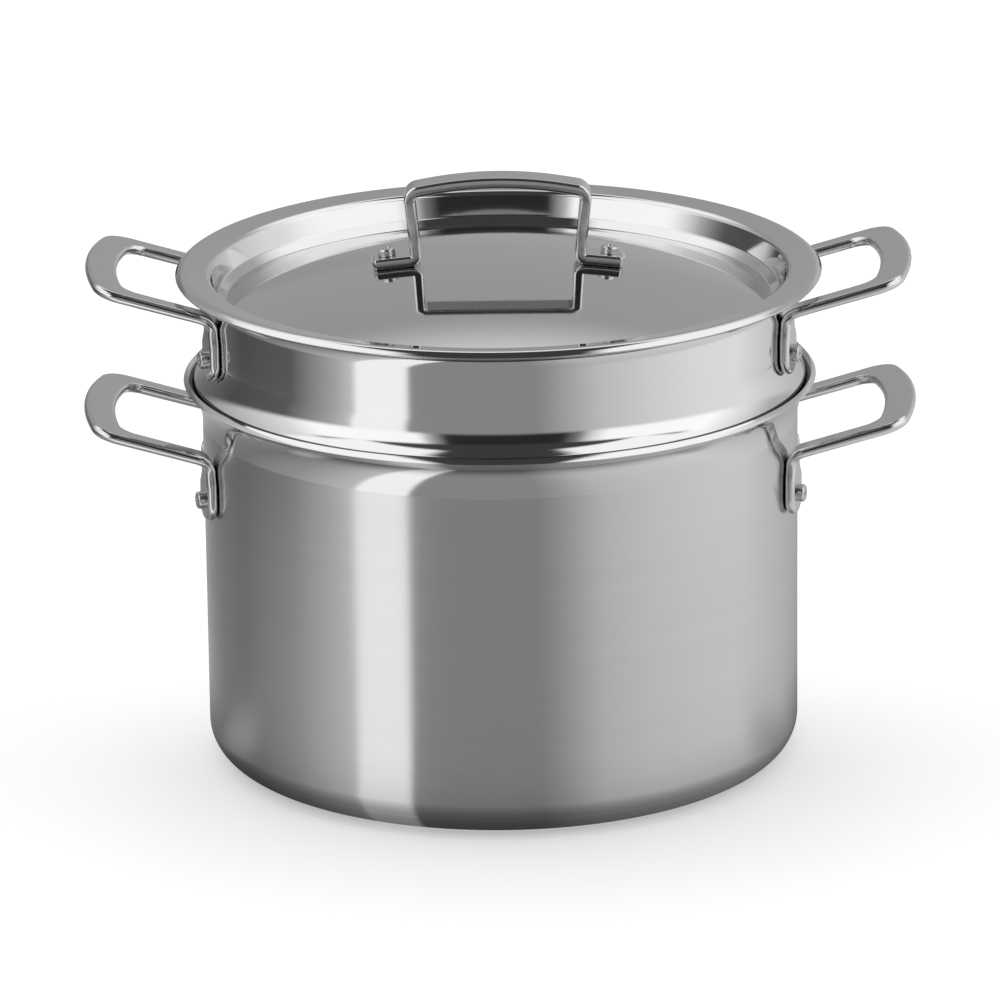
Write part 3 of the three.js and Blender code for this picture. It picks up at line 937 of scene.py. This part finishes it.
def graphTools(tree):
    # short ways to add nodes to one tree
    nodes, links = tree.nodes, tree.links

    def calc(operation, *values):
        node = nodes.new("ShaderNodeMath")
        node.operation = operation
        for i, value in enumerate(values):
            if isinstance(value, (int, float)):
                node.inputs[i].default_value = value
            else:
                links.new(value, node.inputs[i])
        return node.outputs["Value"]

    def fade(value, low, high):
        # 0 below low, 1 above high, smooth between
        node = nodes.new("ShaderNodeMapRange")
        node.interpolation_type = "SMOOTHSTEP"
        node.inputs["From Min"].default_value = low
        node.inputs["From Max"].default_value = high
        links.new(value, node.inputs["Value"])
        return node.outputs["Result"]

    def ramp(value, stops):
        node = nodes.new("ShaderNodeValToRGB")
        elements = node.color_ramp.elements
        while len(elements) < len(stops):
            elements.new(0.5)
        for element, (place, level) in zip(elements, stops):
            element.position = place
            element.color = greyLevel(level)
        links.new(value, node.inputs["Fac"])
        return node.outputs["Color"]

    def blend(factor, a, b):
        node = nodes.new("ShaderNodeMix")
        node.data_type = "RGBA"
        links.new(factor, node.inputs["Factor"])
        for key, value in (("A", a), ("B", b)):
            if isinstance(value, tuple):
                node.inputs[key].default_value = value
            else:
                links.new(value, node.inputs[key])
        return node.outputs["Result"]

    return calc, fade, ramp, blend


def makeWorld():
    # walls that differ by bearing, and two soft boxes overhead with a dark slot between them
    world = bpy.data.worlds.new("studio")
    bpy.context.scene.world = world
    world.use_nodes = True
    nodes, links = world.node_tree.nodes, world.node_tree.links
    calc, fade, ramp, blend = graphTools(world.node_tree)
    place = nodes.new("ShaderNodeTexCoord")
    split = nodes.new("ShaderNodeSeparateXYZ")
    links.new(place.outputs["Generated"], split.inputs["Vector"])
    x, y, z = split.outputs
    toFront = calc("MULTIPLY", y, -1)
    bearing = calc("ARCTAN2", x, toFront)
    around = calc("FRACT", calc("MULTIPLY_ADD", bearing, 0.5 / math.pi, 0.25))
    low = ramp(around, studio["farGround"])
    high = ramp(around, studio["walls"])
    walls = blend(fade(z, *studio["wallsFrom"]), low, high)
    # a dark gap between the walls and the boxes, at the front and straight above
    overhead = calc("MAXIMUM", fade(toFront, *studio["gapFront"]), fade(z, *studio["gapTop"]))
    above = calc("MULTIPLY", fade(z, *studio["stripTop"]), overhead)
    walls = blend(above, walls, greyLevel(studio["gap"]))
    height = calc("MAXIMUM", z, studio["horizon"])
    u = calc("ABSOLUTE", calc("DIVIDE", x, height))
    v = calc("DIVIDE", y, height)
    edge, soft = studio["edge"], studio["boxFade"]
    inside = calc("SUBTRACT", 1, fade(u, studio["boxWidth"] - edge, studio["boxWidth"] + edge))
    front = fade(v, studio["boxFront"] - edge, studio["boxFront"] + edge)
    back = calc("SUBTRACT", 1, fade(v, studio["boxBack"] - soft, studio["boxBack"] + soft))
    aside = calc("MAXIMUM", fade(u, *studio["slot"]), fade(v, *studio["slotBack"]))
    box = calc("MULTIPLY", calc("MULTIPLY", inside, front), calc("MULTIPLY", back, aside))
    sky = blend(box, walls, greyLevel(studio["box"]))
    links.new(sky, nodes["Background"].inputs["Color"])
    nodes["Background"].inputs["Strength"].default_value = studio["brightest"]


def makeFloor():
    dropSelection()
    bpy.ops.mesh.primitive_plane_add(size=studio["floorSize"])
    floor = bpy.context.object
    floor.name = "floor"
    paper = bpy.data.materials.new("palePaper")
    paper.use_nodes = True
    nodes, links = paper.node_tree.nodes, paper.node_tree.links
    calc = graphTools(paper.node_tree)[0]
    shade = nodes["Principled BSDF"]
    shade.inputs["Base Color"].default_value = (*[studio["floorColour"]] * 3, 1)
    shade.inputs["Roughness"].default_value = 0.9
    shade.inputs["Specular IOR Level"].default_value = 0.0
    shade.inputs["Emission Color"].default_value = (1, 1, 1, 1)
    path = nodes.new("ShaderNodeLightPath")
    seen = calc("MAXIMUM", path.outputs["Is Camera Ray"], path.outputs["Is Glossy Ray"])
    seen = calc("MAXIMUM", seen, path.outputs["Is Transmission Ray"])
    links.new(calc("MULTIPLY", seen, studio["floorGlow"]), shade.inputs["Emission Strength"])
    floor.data.materials.append(paper)


def makeCard():
    # a grey card round the pot that only the metal sees, lit by bearing like the walls
    dropSelection()
    bpy.ops.mesh.primitive_circle_add(
        vertices=studio["cardSides"], radius=studio["cardInner"], fill_type="NOTHING",
        location=(0, 0, studio["cardLift"]))
    card = bpy.context.object
    card.name = "greyCard"
    bpy.ops.object.mode_set(mode="EDIT")
    bpy.ops.mesh.select_all(action="SELECT")
    bpy.ops.mesh.extrude_region_move(TRANSFORM_OT_translate={"value": (0, 0, 0)})
    bpy.ops.transform.resize(value=[studio["cardOuter"] / studio["cardInner"]] * 3)
    bpy.ops.object.mode_set(mode="OBJECT")
    grey = bpy.data.materials.new("greyCard")
    grey.use_nodes = True
    nodes, links = grey.node_tree.nodes, grey.node_tree.links
    calc, fade, ramp, blend = graphTools(grey.node_tree)
    place = nodes.new("ShaderNodeTexCoord")
    split = nodes.new("ShaderNodeSeparateXYZ")
    links.new(place.outputs["Object"], split.inputs["Vector"])
    x, y = split.outputs["X"], split.outputs["Y"]

    def lengthOf(a, b):
        return calc("SQRT", calc("ADD", calc("MULTIPLY", a, a), calc("MULTIPLY", b, b)))

    bearing = calc("ARCTAN2", x, calc("MULTIPLY", y, -1))
    distance = lengthOf(x, y)
    # near the pot the bearings fan out, so that a streak on the wall stays upright
    share = calc("DIVIDE", pot["radius"] * mm, distance)
    fan = calc("SUBTRACT", 1, calc("MULTIPLY", share, studio["fan"]))
    turned = calc("DIVIDE", bearing, fan)
    around = calc("FRACT", calc("MULTIPLY_ADD", turned, 0.5 / math.pi, 1.25))
    close = ramp(around, studio["ground"])
    far = ramp(around, studio["farGround"])
    level = blend(fade(distance, *studio["cardFar"]), close, far)
    # another level under the side handles, whose lower edges look down at it
    sideX = calc("SUBTRACT", calc("ABSOLUTE", x), studio["patch"][0])
    sideY = calc("SUBTRACT", y, studio["patch"][1])
    patch = calc("SUBTRACT", 1, fade(lengthOf(sideX, sideY), *studio["patchSize"]))
    level = blend(patch, level, greyLevel(studio["patchLevel"]))
    glow = nodes.new("ShaderNodeEmission")
    links.new(level, glow.inputs["Color"])
    # painted shadow: the card's glow fades out towards the pot's base, a contact shadow that the
    # metal mirrors
    near = fade(distance, *studio["cardNear"])
    links.new(calc("MULTIPLY", near, studio["brightest"]), glow.inputs["Strength"])
    links.new(glow.outputs["Emission"], nodes["Material Output"].inputs["Surface"])
    card.data.materials.append(grey)
    card.visible_camera = card.visible_diffuse = card.visible_shadow = False


def makeLight():
    dropSelection()
    tiltX, tiltY = [math.radians(degrees) for degrees in studio["sunTilt"]]
    bpy.ops.object.light_add(type="SUN", location=(0, 0, 2), rotation=(tiltX, tiltY, 0))
    sun = bpy.context.object
    sun.name = "softLight"
    sun.data.energy = studio["sun"]
    sun.data.angle = math.radians(studio["sunAngle"])
    sun.visible_glossy = False


makeWorld()
makeFloor()
makeCard()
makeLight()
print("studio made")


# camera

view = {
    "target": (-0.0005, 0.0, 0.1049), "distance": 3.0123, "elevation": math.radians(17.4),
    "roll": math.radians(-0.69), "lens": 262.08, "sensor": 36.0, "clip": (0.05, 50.0),
}


def makeCamera():
    dropSelection()
    bpy.ops.object.camera_add()
    camera = bpy.context.object
    camera.name = "camera"
    camera.data.sensor_width = view["sensor"]
    camera.data.lens = view["lens"]
    back = Vector((0, -math.cos(view["elevation"]), math.sin(view["elevation"])))
    camera.location = Vector(view["target"]) + back * view["distance"]
    aim = (-back).to_track_quat("-Z", "Y").to_matrix() @ Matrix.Rotation(view["roll"], 3, "Z")
    camera.rotation_euler = aim.to_euler()
    camera.data.clip_start, camera.data.clip_end = view["clip"]
    bpy.context.scene.camera = camera


makeCamera()
bpy.context.scene.view_settings.view_transform = "Standard"
